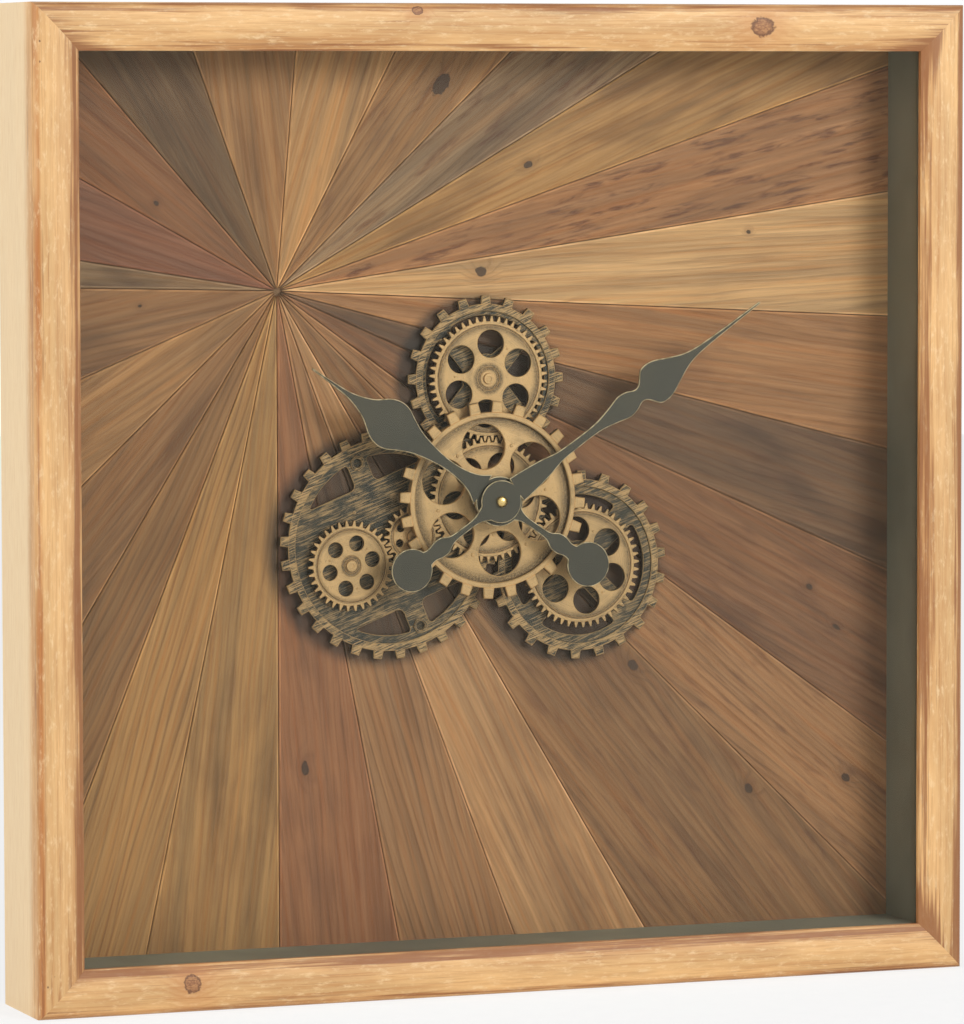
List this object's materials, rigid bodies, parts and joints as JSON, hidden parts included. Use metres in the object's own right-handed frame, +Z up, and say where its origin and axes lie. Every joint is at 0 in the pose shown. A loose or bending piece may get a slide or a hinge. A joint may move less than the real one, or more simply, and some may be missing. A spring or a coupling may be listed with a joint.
{
  "type": "wooden gear clock",
  "caption": "Square pine shadow-box wall clock with a glass front, plank back panel, turning gears and black hands.",
  "frame": {"origin": "middle of the bottom face of the frame, halfway through its depth", "axes": "+Z up when hung on the wall, -Y out of the glass front towards the viewer, +X to the viewer's right"},
  "size_m": [0.6, 0.074, 0.6],
  "materials": {
    "pine": "satin, honey-toned pine with brown streaks",
    "stained_planks": "matte, mixed brown stains",
    "board": "matte hardboard",
    "liner_black": "matte black paint",
    "glass": "clear and polished",
    "antique_bronze": "worn, dark in the recesses",
    "weathered_metal": "brushed dark with gold rub on the teeth",
    "brass": "polished",
    "hand_black": "satin black",
    "case_plastic": "fine grain",
    "cell_skin": "satin",
    "screw_steel": "zinc grey"
  },
  "bodies": {
    "case_and_frame": {"frame_bottom": "pine", "frame_right": "pine", "frame_top": "pine", "frame_left": "pine", "glass_pane": "glass", "liner_bottom": "liner_black", "liner_right": "liner_black", "liner_top": "liner_black", "liner_left": "liner_black", "left_wheel": "weathered_metal", "top_wheel": "weathered_metal", "right_wheel": "weathered_metal", "gear_pins": "antique_bronze", "collar_nuts": "weathered_metal", "back_board": "board", "movement_case": "case_plastic", "battery_cells": "cell_skin", "wheel_screws": "screw_steel", "wood_screws": "screw_steel", "case_screws": "screw_steel", "hanger_plates": "screw_steel", "plank_01": "stained_planks", "plank_02": "stained_planks", "plank_03": "stained_planks", "plank_04": "stained_planks", "plank_05": "stained_planks", "plank_06": "stained_planks", "plank_07": "stained_planks", "plank_08": "stained_planks", "plank_09": "stained_planks", "plank_10": "stained_planks", "plank_11": "stained_planks", "plank_12": "stained_planks", "plank_13": "stained_planks", "plank_14": "stained_planks", "plank_15": "stained_planks", "plank_16": "stained_planks", "plank_17": "stained_planks", "plank_18": "stained_planks", "plank_19": "stained_planks", "plank_20": "stained_planks", "plank_21": "stained_planks", "plank_22": "stained_planks", "plank_23": "stained_planks", "plank_24": "stained_planks", "plank_25": "stained_planks"},
    "minute_set": {"minute_hand": "hand_black", "minute_arbor": "brass", "hand_cap": "brass"},
    "hour_set": {"hour_hand": "hand_black", "hour_tube": "brass"},
    "knob": {"set_knob": "case_plastic"},
    "centre_set": {"centre_gear": "antique_bronze", "centre_fine_gear": "antique_bronze", "drive_sleeve": "antique_bronze"},
    "top_turning_gear": {"top_gear": "antique_bronze"},
    "right_turning_gear": {"right_gear": "antique_bronze"},
    "idler_turning_gear": {"idler_gear": "antique_bronze"},
    "left_turning_gear": {"left_gear": "antique_bronze"},
    "cover": {"battery_cover": "case_plastic"}
  },
  "joints": [
    {"name": "minute_turn", "type": "hinge", "parent": "case_and_frame", "child": "minute_set", "pos_m": [0, -0.016, 0.2984], "axis": [0, -1, 0], "continuous": true},
    {"name": "hour_turn", "type": "hinge", "parent": "case_and_frame", "child": "hour_set", "pos_m": [0, -0.0128, 0.2984], "axis": [0, -1, 0], "continuous": true},
    {"name": "knob_turn", "type": "hinge", "parent": "case_and_frame", "child": "knob", "pos_m": [0, 0.035, 0.3194], "axis": [0, -1, 0], "continuous": true},
    {"name": "centre_turn", "type": "hinge", "parent": "case_and_frame", "child": "centre_set", "pos_m": [0, 0.006, 0.2984], "axis": [0, -1, 0], "continuous": true},
    {"name": "top_gear_turn", "type": "hinge", "parent": "case_and_frame", "child": "top_turning_gear", "pos_m": [0, 0.0075, 0.37232], "axis": [0, -1, 0], "continuous": true},
    {"name": "right_gear_turn", "type": "hinge", "parent": "case_and_frame", "child": "right_turning_gear", "pos_m": [0.06077, 0.0075, 0.25632], "axis": [0, -1, 0], "continuous": true},
    {"name": "idler_turn", "type": "hinge", "parent": "case_and_frame", "child": "idler_turning_gear", "pos_m": [-0.04956, 0.0075, 0.27722], "axis": [0, -1, 0], "continuous": true},
    {"name": "left_gear_turn", "type": "hinge", "parent": "case_and_frame", "child": "left_turning_gear", "pos_m": [-0.08921, 0.0075, 0.26027], "axis": [0, -1, 0], "continuous": true},
    {"name": "cover_slide", "type": "slide", "parent": "case_and_frame", "child": "cover", "axis": [0, 0, -1], "range_m": [0, 0.038]}
  ],
  "couplings": [
    {"joint": "hour_turn", "follows": "minute_turn", "ratio": 0.083333},
    {"joint": "knob_turn", "follows": "minute_turn", "ratio": -3},
    {"joint": "top_gear_turn", "follows": "centre_turn", "ratio": -1},
    {"joint": "right_gear_turn", "follows": "centre_turn", "ratio": -1},
    {"joint": "idler_turn", "follows": "centre_turn", "ratio": -2.1818},
    {"joint": "left_gear_turn", "follows": "centre_turn", "ratio": 1.4118}
  ]
}
